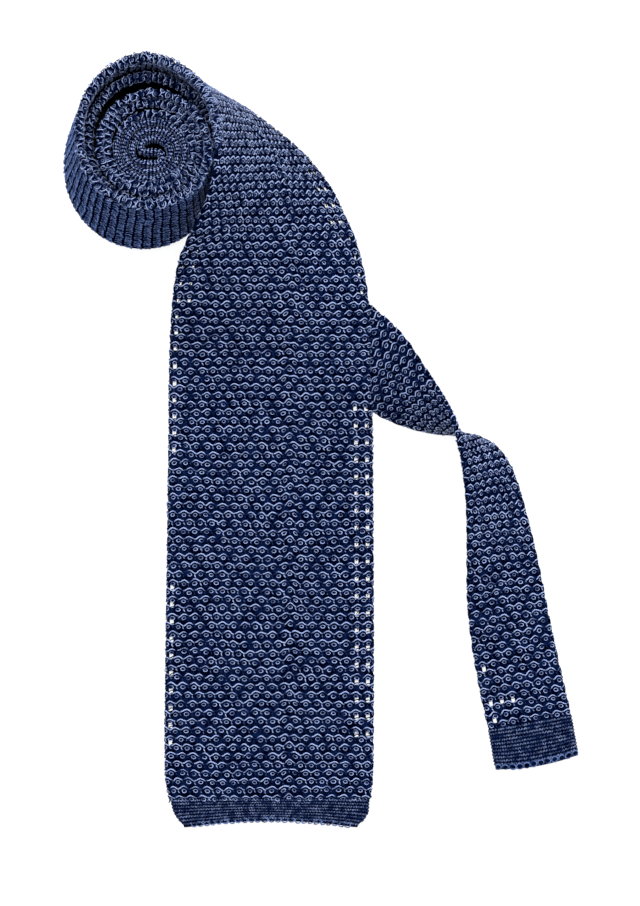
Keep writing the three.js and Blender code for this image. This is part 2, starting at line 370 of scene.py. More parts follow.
flat_left = blade_rows["across"][0] * coil_radius
flat_top = blade_rows["along"][0] * twist_length
flat_bottom = flat_top - flat_length


def flat_sections(table, start, length, thickness):
    return [
        section(
            flat_left + inset * blade_width, start + reach * length, 0, 0, 0, width * blade_width, thickness
        )
        for reach, inset, width in table
    ]


turned_rows = row_stretch(blade_rows, lambda at: section(
    at("across") * coil_radius,
    at("along") * twist_length,
    at("heading"),
    at("roll"),
    at("lift") * blade_thickness,
    at("width") * blade_width,
    blade_thickness,
))
fold_turn = []
for step in range(fold_steps + 1):
    fold_angle = math.pi * (step / fold_steps - 0.5)
    fold_x = fold_centre.x + fold_radius * math.cos(fold_angle)
    fold_y = fold_centre.y + fold_radius * math.sin(fold_angle)
    fold_turn.append(fold_section(fold_x, fold_y, math.degrees(fold_angle) + 360))
tail_start = coil_section("tail", tail_last_turn).middle
tail_stretch = row_stretch(tail_rows, lambda at: section(
    tail_start.x + at("reach") * tail_reach,
    tail_start.y - at("drop") * tail_drop,
    at("heading"),
    at("roll"),
    at("lift") * tail_thickness,
    at("width") * tail_width,
    tail_thickness,
    by_edge=False,
))
tail_end = tail_stretch[-1]
tail_tip = [
    tail_end._replace(
        middle=tail_end.middle + tail_end.ahead * reach * tail_welt_length,
        thickness=welt_thickness,
    )
    for reach in (0.01, 0.5, 1)
]

# One list of sections from tip to tip, with the places along it where each stretch starts and ends
stretches = {
    "blade_welt": flat_sections(welt_rows, flat_bottom - welt_length, welt_length, welt_thickness),
    "blade": flat_sections(flat_rows, flat_bottom, flat_length, blade_thickness)[:-1] + turned_rows,
    "blade_wrap": coil_stretch("blade", blade_last_turn, blade_fine_turn),
    "neckband": [
        *coil_stretch("blade", blade_fine_turn, 0)[1:],
        *[fold_section(*row) for row in fold_in],
        *fold_turn,
        *[fold_section(*row) for row in fold_out],
        *coil_stretch("tail", fold_end_turn, tail_fine_turn),
    ],
    "tail_wrap": coil_stretch("tail", tail_fine_turn, tail_last_turn)[1:],
    "tail": tail_stretch,
    "tail_welt": tail_tip,
}
band = []
band_places = []
starts = {}
for stretch_name, stretch_sections in stretches.items():
    for one in stretch_sections:
        if band:
            band_places.append(band_places[-1] + (one.middle - band[-1].middle).length)
        else:
            band_places.append(0.0)
        starts.setdefault(stretch_name, band_places[-1])
        band.append(one)
band_length = band_places[-1]
starts["end"] = band_length
ends = dict(zip(starts, list(starts.values())[1:]))

# The path is drawn round the coil's axis, and moves to where the model's own box has it
edge_flat = 0.4
corners = [
    one.middle + side * one.width / 2 * one.across + face * edge_flat * one.thickness / 2 * one.through
    for one in band
    for side in (-1, 1)
    for face in (-1, 1)
]
path_centre_x = (min(c.x for c in corners) + max(c.x for c in corners)) / 2
path_centre_y = (min(c.y for c in corners) + max(c.y for c in corners)) / 2
shift = Vector((
    (cad_low.x + cad_high.x) / 2 - path_centre_x,
    (cad_low.y + cad_high.y) / 2 - path_centre_y,
    cad_low.z,
))
band = [one._replace(middle=one.middle + shift) for one in band]


def band_section(place):
    """The band's section at any place along it"""
    after = min(max(bisect_right(band_places, place), 1), len(band) - 1)
    low, high = band[after - 1], band[after]
    span = band_places[after] - band_places[after - 1]
    share = min(max((place - band_places[after - 1]) / span, 0), 1)
    past = place - min(max(place, 0), band_length)
    return Section(
        low.middle.lerp(high.middle, share) + past * high.ahead,
        low.across.lerp(high.across, share).normalized(),
        low.through.lerp(high.through, share).normalized(),
        low.ahead.lerp(high.ahead, share).normalized(),
        low.width + (high.width - low.width) * share,
        low.thickness + (high.thickness - low.thickness) * share,
    )


# The same path as a line that Geometry Nodes can follow
overrun = 0.003
line = [
    band[0]._replace(middle=band[0].middle - overrun * band[0].ahead),
    *band,
    band[-1]._replace(middle=band[-1].middle + overrun * band[-1].ahead),
]
line_mesh = bpy.data.meshes.new("band line")
line_mesh.from_pydata([one.middle for one in line], [(i, i + 1) for i in range(len(line) - 1)], [])
for attribute_name, values in (
    ("right", [-one.across for one in line]),
    ("through", [one.through for one in line]),
    ("half", [Vector((one.width / 2, one.thickness / 2, 0)) for one in line]),
):
    attribute = line_mesh.attributes.new(attribute_name, "FLOAT_VECTOR", "POINT")
    attribute.data.foreach_set("vector", [number for value in values for number in value])

# The yarns of one stitch, as closed tubes: a row's yarn that arches over a small loop, the loop, and
# the short strand that drops from one row to the next between two loops
stitch_width = 0.00375
row_height = 0.00287
yarn_radius = 0.00029


def yarn_tubes(name, strands, sides):
    """Closed tubes along lists of points. A strand is its points, its radius and if it is a ring"""
    ring_closing = 0.0005
    vertices = []
    faces = []
    uvs = []
    for points, radius, is_ring in strands:
        count = len(points)
        first = len(vertices)
        along = 0.0
        alongs = []
        for i, point in enumerate(points):
            after = points[(i + 1) % count] if is_ring or i < count - 1 else point
            before = points[i - 1] if is_ring or i > 0 else point
            ahead = (after - before).normalized()
            out = (Vector((0, 0, 1)) - ahead * ahead.z).normalized()
            beside = ahead.cross(out)
            if i > 0:
                along += (point - points[i - 1]).length
            alongs.append(along)
            for k in range(sides):
                around = 2 * math.pi * (k + 0.5) / sides
                vertices.append(point + radius * (math.cos(around) * out + math.sin(around) * beside))
        for i in range(count if is_ring else count - 1):
            for k in range(sides):
                here, there = first + i * sides, first + (i + 1) % count * sides
                after = (k + 1) % sides
                faces.append((here + k, here + after, there + after, there + k))
                low, high = alongs[i], alongs[(i + 1) % count] if i < count - 1 else along + ring_closing
                uvs += [(low, k / sides), (low, (k + 1) / sides), (high, (k + 1) / sides), (high, k / sides)]
        if not is_ring:
            last = first + (count - 1) * sides
            faces.append(tuple(first + k for k in reversed(range(sides))))
            faces.append(tuple(last + k for k in range(sides)))
            uvs += [(0, 0)] * sides + [(along, 0)] * sides
    mesh = bpy.data.meshes.new(name)
    mesh.from_pydata(vertices, [], faces)
    layer = mesh.uv_layers.new(name="yarn")
    layer.data.foreach_set("uv", [number for pair in uvs for number in pair])
    return add_object(name, mesh)


def arch(share):
    """Height of the row's yarn above its valleys, from 0 to 1, across one stitch"""
    return 0.5 + 0.5 * math.cos(2 * math.pi * share)


arch_steps = 6
row_yarn = [
    Vector((
        (i / arch_steps - 0.5) * stitch_width,
        (0.09 + 0.32 * arch(i / arch_steps - 0.5)) * row_height,
        (-0.3 + 1.0 * arch(i / arch_steps - 0.5)) * yarn_radius,
    ))
    for i in range(arch_steps + 1)
]
loop_steps = 8
loop_yarn = [
    Vector((
        0.185 * stitch_width * math.sin(2 * math.pi * i / loop_steps),
        (-0.09 - 0.18 * math.cos(2 * math.pi * i / loop_steps)) * row_height,
        (0.1 + 0.2 * math.cos(2 * math.pi * i / loop_steps)) * yarn_radius,
    ))
    for i in range(loop_steps)
]
drop_yarn = [
    Vector((0.42 * stitch_width, 0.02 * row_height, -1.2 * yarn_radius)),
    Vector((0.47 * stitch_width, -0.16 * row_height, -0.3 * yarn_radius)),
    Vector((0.56 * stitch_width, -0.36 * row_height, -1.2 * yarn_radius)),
]


def turned(points):
    """The same yarn turned half round, for the tail, whose rows lie the other way up"""
    return [Vector((-point.x, -point.y, point.z)) for point in points]


coarse_stitch, tail_stitch = (
    yarn_tubes(
        name,
        (
            (way(row_yarn), 0.80 * yarn_radius, False),
            (way(loop_yarn), 0.60 * yarn_radius, True),
            (way(drop_yarn), 0.70 * yarn_radius, False),
        ),
        4,
    )
    for name, way in (("coarse stitch", list), ("tail stitch", turned))
)

# The knitting itself: a stitch for each place on a grid, uneven as by hand, then laid on the band.
# A stitch's place is given across, to the right of the band's middle, and along, from its tip.
smallest_stitch = 0.93
largest_stitch = 1.08
wander_scale = 170.0
drift_scale = 42.0
seed_step = (0.31, 0.17, 0.0)
crease_reach = 0.0028
crease_pull = 2.2
knitting = bpy.data.node_groups.new("knitting", "GeometryNodeTree")
socket_kinds = {
    "Geometry": ("Band line",),
    "Object": ("Stitch",),
    "Material": ("Yarn",),
    "Int": ("Columns", "First row", "Rows", "Seed"),
    "Float": (
        "Stitch width", "Row height", "First column", "Stagger", "Flat half", "Spread", "Depth",
        "Unevenness", "Tilt", "Size", "Drift", "Crease at", "Crease height", "Bow", "Bow from", "Bow to",
    ),
}
for socket_kind, socket_names in socket_kinds.items():
    for socket_name in socket_names:
        knitting.interface.new_socket(
            socket_name, in_out="INPUT", socket_type="NodeSocket" + socket_kind
        )
knitting.interface.new_socket("Knit", in_out="OUTPUT", socket_type="NodeSocketGeometry")


def number(operation, *values):
    return add_node(knitting, "ShaderNodeMath", enumerate(values), operation=operation).outputs[0]


def vector(operation, *values):
    return add_node(knitting, "ShaderNodeVectorMath", enumerate(values), operation=operation).outputs[0]


def scaled(direction, amount):
    return add_node(
        knitting, "ShaderNodeVectorMath", {0: direction, 3: amount}, operation="SCALE"
    ).outputs[0]


given = knitting.nodes.new("NodeGroupInput").outputs
index = knitting.nodes.new("GeometryNodeInputIndex").outputs[0]
column = number("FLOOR", number("DIVIDE", number("ADD", index, 0.5), given["Rows"]))
row = number("ADD", number("SUBTRACT", index, number("MULTIPLY", column, given["Rows"])), given["First row"])
odd = number("FLOORED_MODULO", row, 2.0)
offset = number("MULTIPLY", odd, given["Stagger"])
across = number("MULTIPLY_ADD", number("ADD", column, offset), given["Stitch width"], given["First column"])
along = number("MULTIPLY", row, given["Row height"])
place = add_node(knitting, "ShaderNodeCombineXYZ", {"X": across, "Y": along})
points = add_node(
    knitting,
    "GeometryNodePoints",
    {"Count": number("MULTIPLY", given["Rows"], given["Columns"]), "Position": place.outputs[0]},
)
stitch = add_node(knitting, "GeometryNodeObjectInfo", {"Object": given["Stitch"], "As Instance": True})
lean_low = scaled((-1, -1, -1), given["Tilt"])
lean_high = scaled((1, 1, 1), given["Tilt"])
tilts = add_node(
    knitting, "FunctionNodeRandomValue", {"Min": lean_low, "Max": lean_high, "Seed": given["Seed"]},
    data_type="FLOAT_VECTOR",
)
sizes = add_node(
    knitting, "FunctionNodeRandomValue", {2: smallest_stitch, 3: largest_stitch, "Seed": given["Seed"]},
    data_type="FLOAT",
)
stitches = add_node(
    knitting,
    "GeometryNodeInstanceOnPoints",
    {
        "Points": points.outputs[0],
        "Instance": stitch.outputs["Geometry"],
        "Rotation": tilts.outputs["Value"],
        "Scale": number("MULTIPLY", sizes.outputs[1], given["Size"]),
    },
)
loose = add_node(knitting, "GeometryNodeRealizeInstances", {0: stitches.outputs[0]})

# How far each point of a yarn stands off the band is kept as its crest, from 0, deep, to 1, on top.
# The yarn's material paints shade and highlight from it.
flat_place = knitting.nodes.new("GeometryNodeInputPosition").outputs[0]
flat = add_node(knitting, "ShaderNodeSeparateXYZ", {0: flat_place})
crest = add_node(
    knitting,
    "ShaderNodeMapRange",
    {"Value": flat.outputs["Z"], "From Min": -2.2 * yarn_radius, "From Max": 1.8 * yarn_radius},
)
marked = add_node(
    knitting,
    "GeometryNodeStoreNamedAttribute",
    {"Geometry": loose.outputs[0], "Name": "crest", "Value": crest.outputs[0]},
    data_type="FLOAT",
    domain="POINT",
)


def strayed(where, scale, amount):
    """A smooth random move, by up to half that amount each way"""
    noise = add_node(knitting, "ShaderNodeTexNoise", {"Vector": where, "Scale": scale, "Detail": 1.0})
    return scaled(vector("SUBTRACT", noise.outputs["Color"], (0.5, 0.5, 0.5)), amount)


seed_place = vector("ADD", flat_place, scaled(seed_step, given["Seed"]))
wander = strayed(seed_place, wander_scale, given["Unevenness"])
drift = strayed(flat_place, drift_scale, given["Drift"])
uneven_place = add_node(
    knitting, "ShaderNodeSeparateXYZ", {0: vector("ADD", vector("ADD", flat_place, wander), drift)}
)
place_across = uneven_place.outputs["X"]
off_crease = number("ABSOLUTE", number("SUBTRACT", place_across, given["Crease at"]))
crease = add_node(
    knitting,
    "ShaderNodeMapRange",
    {"Value": off_crease, "From Min": 0.0, "From Max": crease_reach, "To Min": 1.0, "To Max": 0.0},
    interpolation_type="SMOOTHSTEP",
)
crease_rise = number("MULTIPLY", crease.outputs[0], given["Crease height"])
off_column = number("MULTIPLY_ADD", crease_rise, crease_pull, uneven_place.outputs["Y"])

# A tip's rows are bowed along the band on both layers, most in the middle of the row at the tip
bow_share = add_node(
    knitting,
    "ShaderNodeMapRange",
    {"Value": off_column, "From Min": given["Bow from"], "From Max": given["Bow to"]},
)
edge_turn = math.pi * welt_thickness / 2
off_centre = number("ABSOLUTE", place_across)
off_back_centre = number("SUBTRACT", number("MULTIPLY_ADD", given["Flat half"], 2.0, edge_turn), off_centre)
nearest_centre = number("MINIMUM", off_centre, off_back_centre)
bow_part = number("POWER", number("DIVIDE", nearest_centre, given["Flat half"]), 2.0)
bow_height = number("MAXIMUM", number("SUBTRACT", 1.0, bow_part), 0.0)
bowed = number("MULTIPLY", number("MULTIPLY", bow_height, bow_share.outputs[0]), given["Bow"])
place_along = number("ADD", off_column, bowed)
place_out = number("ADD", number("ADD", flat.outputs["Z"], given["Depth"]), crease_rise)

# The band's own middle, directions and size at that place along it
follow = add_node(knitting, "GeometryNodeMeshToCurve", {0: given["Band line"]})
line_place = number("ADD", place_along, overrun)


def followed(attribute_name, position=False):
    held = add_node(
        knitting, "GeometryNodeInputNamedAttribute", {"Name": attribute_name}, data_type="FLOAT_VECTOR"
    )
    sample = add_node(
        knitting,
        "GeometryNodeSampleCurve",
        {"Curves": follow.outputs[0], "Length": line_place},
        data_type="FLOAT_VECTOR",
        mode="LENGTH",
    )
    knitting.links.new(held.outputs["Attribute"], sample.inputs["Value"])
    return sample.outputs["Position"] if position else sample.outputs["Value"]


middle = followed("right", position=True)
to_right = vector("NORMALIZE", followed("right"))
outward = vector("NORMALIZE", followed("through"))
half = add_node(knitting, "ShaderNodeSeparateXYZ", {0: followed("half")})
half_width = half.outputs["X"]
edge_radius = half.outputs["Y"]

# Across the band a yarn lies on the flat front, goes round the rounded edge, or lies on the back
beyond = number("ABSOLUTE", place_across)
hand = number("SIGN", place_across)
flat_now = number("SUBTRACT", half_width, edge_radius)
squeeze = number("DIVIDE", flat_now, given["Flat half"])
pull = number("MULTIPLY_ADD", number("SUBTRACT", squeeze, 1.0), given["Spread"], 1.0)
on_front = number("MINIMUM", beyond, given["Flat half"])
past_front = number("SUBTRACT", beyond, given["Flat half"])
round_edge = number("DIVIDE", past_front, edge_radius)
edge_angle = number("MINIMUM", number("MAXIMUM", round_edge, 0.0), math.pi)
past_edge = number("MAXIMUM", number("SUBTRACT", past_front, number("MULTIPLY", edge_radius, math.pi)), 0.0)
short_of_edge = number("MULTIPLY", number("SUBTRACT", given["Flat half"], on_front), pull)
in_flat = number("SUBTRACT", number("SUBTRACT", flat_now, short_of_edge), number("MULTIPLY", past_edge, pull))
off_middle = number("ADD", edge_radius, place_out)
reach_across = number("MULTIPLY_ADD", off_middle, number("SINE", edge_angle), in_flat)
reach_out = number("MULTIPLY", off_middle, number("COSINE", edge_angle))
laid_place = vector(
    "ADD",
    vector("ADD", middle, scaled(to_right, number("MULTIPLY", reach_across, hand))),
    scaled(outward, reach_out),
)
laid = add_node(knitting, "GeometryNodeSetPosition", {"Geometry": marked.outputs[0], "Position": laid_place})
smooth = add_node(knitting, "GeometryNodeSetShadeSmooth", {0: laid.outputs[0]})
dyed = add_node(
    knitting, "GeometryNodeSetMaterial", {"Geometry": smooth.outputs[0], "Material": given["Yarn"]}
)
result = knitting.nodes.new("NodeGroupOutput")
knitting.links.new(dyed.outputs[0], result.inputs[0])
sockets = {item.name: item.identifier for item in knitting.interface.items_tree}


def knit(name, stitch, yarn, **sizes):
    """One piece of knitting on the band, as a plain mesh"""
    piece = add_object(name, line_mesh)
    modifier = piece.modifiers.new("knitting", "NODES")
    modifier.node_group = knitting
    modifier[sockets["Stitch"]] = stitch
    modifier[sockets["Yarn"]] = yarn
    for size, value in sizes.items():
        modifier[sockets[size.replace("_", " ")]] = value
    depsgraph = bpy.context.evaluated_depsgraph_get()
    mesh = bpy.data.meshes.new_from_object(
        piece.evaluated_get(depsgraph), preserve_all_data_layers=True, depsgraph=depsgraph
    )
    piece.modifiers.clear()
    piece.data = mesh
    mesh.name = name
    return piece


# The yarn's navy, painted with shade and a highlight: near black as painted shade where it is deep between
# its neighbours, navy on its sides and a pale lavender blue as a painted highlight in a thin line along its
# top, where the silk shines. Its plies are twisted.
# These set where the painted highlight lies round the yarn and how the painted shade and highlight are ramped
yarn_top = 0.875
ply_pitch = 0.0007
ply_depth = 0.00006
patch_share = 0.55
top_share = 0.17
ply_share = 0.05
deepest = 0.35
deep_until, body_at, shine_from = 0.10, 0.66, 0.93


def silk_yarn(name, deep, body, shine, full=1.30, gloss=0.10):
    paint, tree, finish = new_material(name)

    def work(operation, *values):
        return add_node(tree, "ShaderNodeMath", enumerate(values), operation=operation).outputs[0]

    crest_read = add_node(tree, "ShaderNodeAttribute", attribute_name="crest")
    where = tree.nodes.new("ShaderNodeTexCoord").outputs["Object"]
    patches = add_node(tree, "ShaderNodeTexNoise", {"Vector": where, "Scale": 420.0, "Detail": 2.0})
    on_yarn = add_node(tree, "ShaderNodeUVMap", uv_map="yarn")
    yarn_place = add_node(tree, "ShaderNodeSeparateXYZ", {0: on_yarn.outputs[0]})
    around = work("MULTIPLY", work("SUBTRACT", yarn_place.outputs["Y"], yarn_top), 2 * math.pi)
    top = work("COSINE", around)
    two_turns = work("MULTIPLY", around, 2.0)
    twist = work("MULTIPLY_ADD", yarn_place.outputs["X"], 2 * math.pi / ply_pitch, two_turns)
    ply = work("SINE", twist)
    # Painted shade and highlight: depth in the cloth, nearness to the yarn's top, random patches and the
    # plies set how dark or pale a point is painted
    height = work("MULTIPLY_ADD", patches.outputs["Fac"], patch_share, crest_read.outputs["Fac"])
    height = work("MULTIPLY_ADD", top, top_share, height)
    height = work("MULTIPLY_ADD", ply, ply_share, height)
    share = add_node(
        tree, "ShaderNodeMapRange", {"Value": height, "From Min": deepest, "From Max": full}
    )
    ramp = add_node(tree, "ShaderNodeValToRGB", {0: share.outputs[0]})
    ramp.color_ramp.elements[0].position = deep_until
    ramp.color_ramp.elements[0].color = (*deep, 1)
    ramp.color_ramp.elements[1].position = shine_from
    ramp.color_ramp.elements[1].color = (*shine, 1)
    ramp.color_ramp.elements.new(body_at).color = (*body, 1)
    bump = add_node(tree, "ShaderNodeBump", {"Height": ply, "Strength": 0.5, "Distance": ply_depth})
    tree.links.new(ramp.outputs[0], finish.inputs["Base Color"])
    tree.links.new(bump.outputs[0], finish.inputs["Normal"])
    finish.inputs["Roughness"].default_value = 0.32
    finish.inputs["Specular IOR Level"].default_value = gloss
    finish.inputs["Specular Tint"].default_value = (0.55, 0.68, 1.0, 1)
    return paint


# The near black painted in as shade where a yarn lies deep between its neighbours
painted_shade_navy = (0.0, 0.0010, 0.013)
navy_yarn = silk_yarn("navy silk yarn", painted_shade_navy, (0.006, 0.020, 0.098), (0.34, 0.43, 0.73))
blade_flat_half = 0.0335
blade_knit = dict(
    Stitch_width=stitch_width, Row_height=row_height, Stagger=0.5, Flat_half=blade_flat_half,
    Depth=-yarn_radius, Unevenness=0.0008, Tilt=0.16, Size=1.0, Drift=0.0022,
)
blade_crease = dict(Crease_at=0.0066, Crease_height=0.00035)
blade_columns = 20
blade_first_column = -(blade_columns - 0.5) / 2 * stitch_width
first_blade_row = 3
front_rows = 39
bend_rows = 40
turn_rows = 13
blade_stitches = [
    knit(
        name, coarse_stitch, navy_yarn, First_column=blade_first_column, Columns=blade_columns,
        First_row=first_row, Rows=rows, Spread=1.0, Seed=first_row, **blade_knit, **blade_crease,
    )
    for name, first_row, rows in (
        ("blade_front_stitches", first_blade_row, front_rows),
        ("blade_bend_stitches", first_blade_row + front_rows, bend_rows),
        ("blade_turn_stitches", first_blade_row + front_rows + bend_rows, turn_rows),
    )
]

# The tube's back layer has the same stitches, from one edge round to the other
back_first_column = (blade_columns + 0.5) / 2 * stitch_width
back_columns = 18
back_rows = 46
blade_stitches += [
    knit(
        name, coarse_stitch, navy_yarn, First_column=back_first_column, Columns=back_columns,
        First_row=first_row, Rows=back_rows, Spread=1.0, Seed=first_row + 1, **blade_knit,
    )
    for name, first_row in (
        ("blade_back_stitches", first_blade_row),
        ("blade_inside_stitches", first_blade_row + back_rows),
    )
]

# The edge that rises round the coil is seen end on, as a tangle of smaller loops close together
rim_pitch = 0.0021
rim_columns = 11
rim_knit = dict(
    Stitch_width=rim_pitch, Row_height=rim_pitch, Stagger=0.5, Spread=0.0, Depth=0.1 * yarn_radius,
    Unevenness=0.0016, Tilt=0.45, Size=0.74, Drift=0.0010,
)
blade_rim = dict(
    First_column=-blade_flat_half - (rim_columns - 0.5) * rim_pitch,
    Columns=rim_columns,
    Flat_half=blade_flat_half,
)
coil_rim_row = math.ceil(starts["blade_wrap"] / rim_pitch) - 1
turn_rim_rows = 20
blade_stitches.append(knit(
    "blade_rim_stitches", coarse_stitch, navy_yarn,
    First_row=coil_rim_row - turn_rim_rows, Rows=turn_rim_rows, Seed=13, **blade_rim, **rim_knit,
))

# Under the stitches lies the rest of the blade's two layers, as one dark cloth, painted darker than
# its yarn as painted shade between the stitches. It is a sheet at the band's middle that gets its
# thickness after some of its meshes near the edges are left open.
fibre_scale = 700.0
dark_until, fibre_from = 0.40, 0.68


def ground_material(name, deep, body):
    paint, tree, finish = new_material(name)
    where = tree.nodes.new("ShaderNodeTexCoord").outputs["Object"]
    patches = add_node(tree, "ShaderNodeTexNoise", {"Vector": where, "Scale": fibre_scale, "Detail": 3.0})
    ramp = add_node(tree, "ShaderNodeValToRGB", {0: patches.outputs["Fac"]})
    ramp.color_ramp.elements[0].position = dark_until
    ramp.color_ramp.elements[0].color = (*deep, 1)
    ramp.color_ramp.elements[1].position = fibre_from
    ramp.color_ramp.elements[1].color = (*body, 1)
    bump = add_node(tree, "ShaderNodeBump", {"Height": patches.outputs["Fac"], "Distance": 0.0006})
    tree.links.new(ramp.outputs[0], finish.inputs["Base Color"])
    tree.links.new(bump.outputs[0], finish.inputs["Normal"])
    finish.inputs["Roughness"].default_value = 0.75
    finish.inputs["Specular IOR Level"].default_value = 0.0
    return paint


# The cloth's navy, with random fibre patches, is painted darker than its yarn, as painted shade in the gaps
# between the stitches
navy_ground = ground_material("navy ground", (0.0, 0.0006, 0.006), (0.003, 0.009, 0.046))


def ground_cloth(node, paint, lines_across, lines_along, flat_half, inset, open_meshes=(), scallop=0.0,
                 bow=(0.0, 0.0, 1.0)):
    """A sheet along the band, with its lines at places across and along. Some meshes may be left open,
    its edges wave in and out with each second row, and its rows may be bowed from one place to another"""
    name = node + "_ground"
    bow_height, bow_from, bow_to = bow
    vertices = []
    uvs = []
    for place in lines_along:
        one = band_section(place)
        radius = one.thickness / 2
        flat_now = one.width / 2 - radius
        pull = flat_now / flat_half
        wave = scallop * (0.5 + 0.5 * math.cos(math.pi * place / row_height))
        bow_share = min(max((place - bow_from) / (bow_to - bow_from), 0.0), 1.0)
        for u in lines_across:
            reach = flat_now - (flat_half - abs(u)) * pull
            reach = min(reach, one.width / 2 - inset - wave)
            bowed = bow_height * bow_share * max(0.0, 1 - (u / flat_half) ** 2)
            vertices.append(one.middle - one.across * math.copysign(reach, u) + bowed * one.ahead)
            uvs.append((u, place))
    count = len(lines_across)
    faces = []
    for j, place in enumerate(lines_along[:-1]):
        for i in range(count - 1):
            if (i, place) not in open_meshes:
                corner = j * count + i
                faces.append((corner, corner + 1, corner + count + 1, corner + count))
    mesh = bpy.data.meshes.new(name)
    mesh.from_pydata(vertices, [], faces)
    layer = mesh.uv_layers.new(name="cloth")
    layer.data.foreach_set("uv", [number for loop in mesh.loops for number in uvs[loop.vertex_index]])
    mesh.materials.append(paint)
    piece = add_object(name, mesh)
    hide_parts(node)
    return piece


def thicken(piece, half_thickness):
    wall = piece.modifiers.new("layers", "SOLIDIFY")
    wall.thickness = 2 * half_thickness
    wall.offset = 0


# The cloth's lines lie at both sides of each opening between two stitches, and at both ends of it
mesh_sides = (-1 / 6, 1 / 6, 1 / 3, 2 / 3)
mesh_ends = (0.2, 0.8)


def row_lines(node):
    start, end = starts[node], ends[node]
    rows = range(math.floor(start / row_height), math.ceil(end / row_height))
    places = [(row_number + part) * row_height for row_number in rows for part in mesh_ends]
    return [start, *(place for place in places if start < place < end), end]


def opening(mesh_number, row_number):
    """The mesh of that number across the cloth, in the gap that follows that row"""
    return mesh_number, (row_number + mesh_ends[0]) * row_height


blade_edge_line = 0.036
blade_lines_across = [
    -blade_edge_line,
    *(
        blade_first_column + (column_number + part) * stitch_width
        for column_number in range(1, blade_columns - 1)
        for part in mesh_sides
    ),
    blade_edge_line,
]
# Each run of openings has its column, and its first and last row. Where the blade leans steeply, an
# opening is three meshes wide, so that it still shows through.
open_rows = (
    (18, 11, 49), (17, 11, 49), (18, 61, 85), (17, 69, 79), (1, 10, 28), (1, 44, 70), (2, 62, 70)
)
steep_row = 70
open_meshes = set()
for column_number, first, last in open_rows:
    for row_number in range(first, last + 1, 2):
        mesh_number = 1 + len(mesh_sides) * (column_number - 1) + (2 if row_number % 2 else 0)
        for inward in range(3 if row_number > steep_row else 1):
            open_meshes.add(opening(mesh_number - inward, row_number - 1))
edge_scallop = 0.0005
open_cloth_half = 0.0006
blade_ground = ground_cloth(
    "blade", navy_ground, blade_lines_across, row_lines("blade"), blade_flat_half, inset=0.0001,
    open_meshes=open_meshes, scallop=edge_scallop,
)
thicken(blade_ground, open_cloth_half)


def settle(pieces):
    for piece in pieces:
        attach(piece, "root")


def declare_cloth(node):
    """Works out the area of that stretch of the closed tube as a sheet laid flat; nothing uses it"""
    length = ends[node] - starts[node]
    strips = 200
    places = [starts[node] + length * (i + 0.5) / strips for i in range(strips)]
    area = sum(band_section(place).width for place in places) * length / strips


settle([blade_ground, *blade_stitches])

# The blade's welt
# The wide end is finished with a finely knitted band of small plain stitches, with rounded corners.
def even_lines(start, end, step):
    count = math.ceil((end - start) / step)
    return [start + (end - start) * i / count for i in range(count + 1)]


def lines_each(step, half):
    """Lines across the cloth at each so many millimetres"""
    return [u / 1000 for u in range(-half, half + 1, step)]


def centred(columns, width):
    """That many columns of stitches, as many on each side of the band's middle"""
    return dict(First_column=-(columns - 1) / 2 * width, Columns=columns)


cast_off_depth = 0.0009
welt_cloth_half = 0.0006
welt_flat_half = 0.0318
fine_width = 0.00112
fine_height = 0.00112
fine_radius = 0.00019


def leg(side):
    return [
        Vector((side * 0.38 * fine_width, 0.44 * fine_height, -1.5 * fine_radius)),
        Vector((side * 0.25 * fine_width, 0.10 * fine_height, 0.3 * fine_radius)),
        Vector((side * 0.05 * fine_width, -0.36 * fine_height, -1.3 * fine_radius)),
    ]


fine_yarn = silk_yarn(
    "fine silk yarn", painted_shade_navy, (0.005, 0.017, 0.078), (0.32, 0.41, 0.69), full=1.36
)
fine_stitch = yarn_tubes("fine stitch", ((leg(-1), fine_radius, False), (leg(1), fine_radius, False)), 4)
tip_bow = dict(Bow=0.0021, Bow_from=starts["blade"], Bow_to=0.0)
fine_knit = dict(
    Stitch_width=fine_width, Row_height=fine_height, Stagger=0.25, Depth=-fine_radius,
    Unevenness=0.0003, Tilt=0.15, Size=1.0, Drift=0.0006,
)
welt_stitches = knit(
    "blade_welt_stitches", fine_stitch, fine_yarn,
    First_row=0, Rows=8, Flat_half=welt_flat_half, Spread=1.0, Seed=7,
    **centred(columns=122, width=fine_width), **fine_knit, **tip_bow,
)
welt_ground = ground_cloth(
    "blade_welt", navy_ground, lines_each(2, 33),
    even_lines(-cast_off_depth, starts["blade"], fine_height), welt_flat_half, inset=0.0004,
    bow=tuple(tip_bow.values()),
)
thicken(welt_ground, welt_cloth_half)

# Its last row is cast off in larger loops, which stand out a little past the cloth
loop_pitch = 0.0024
loop_drop = 0.0004
cast_off_loop = yarn_tubes("cast off loop", ((
    [
        Vector((
            0.46 * loop_pitch * math.sin(2 * math.pi * i / loop_steps),
            -0.36 * loop_pitch * math.cos(2 * math.pi * i / loop_steps),
            0.4 * yarn_radius * math.cos(2 * math.pi * i / loop_steps),
        ))
        for i in range(loop_steps)
    ],
    0.9 * yarn_radius,
    True,
),), 4)
cast_off = dict(
    Stitch_width=loop_pitch, Rows=1, Stagger=0.0, Spread=1.0, Unevenness=0.0005, Tilt=0.25, Size=1.0
)
cast_off_yarn = silk_yarn(
    "cast off silk yarn", painted_shade_navy, (0.004, 0.013, 0.062), (0.10, 0.16, 0.36)
)
welt_loops = knit(
    "blade_cast_off_loops", cast_off_loop, cast_off_yarn,
    First_row=-1, Row_height=loop_drop, Flat_half=welt_flat_half, Depth=-0.0005, Drift=0.0008,
    Seed=8, **centred(columns=25, width=loop_pitch), **cast_off, **tip_bow,
)
settle([welt_ground, welt_stitches, welt_loops])
declare_cloth(
    "blade"
)

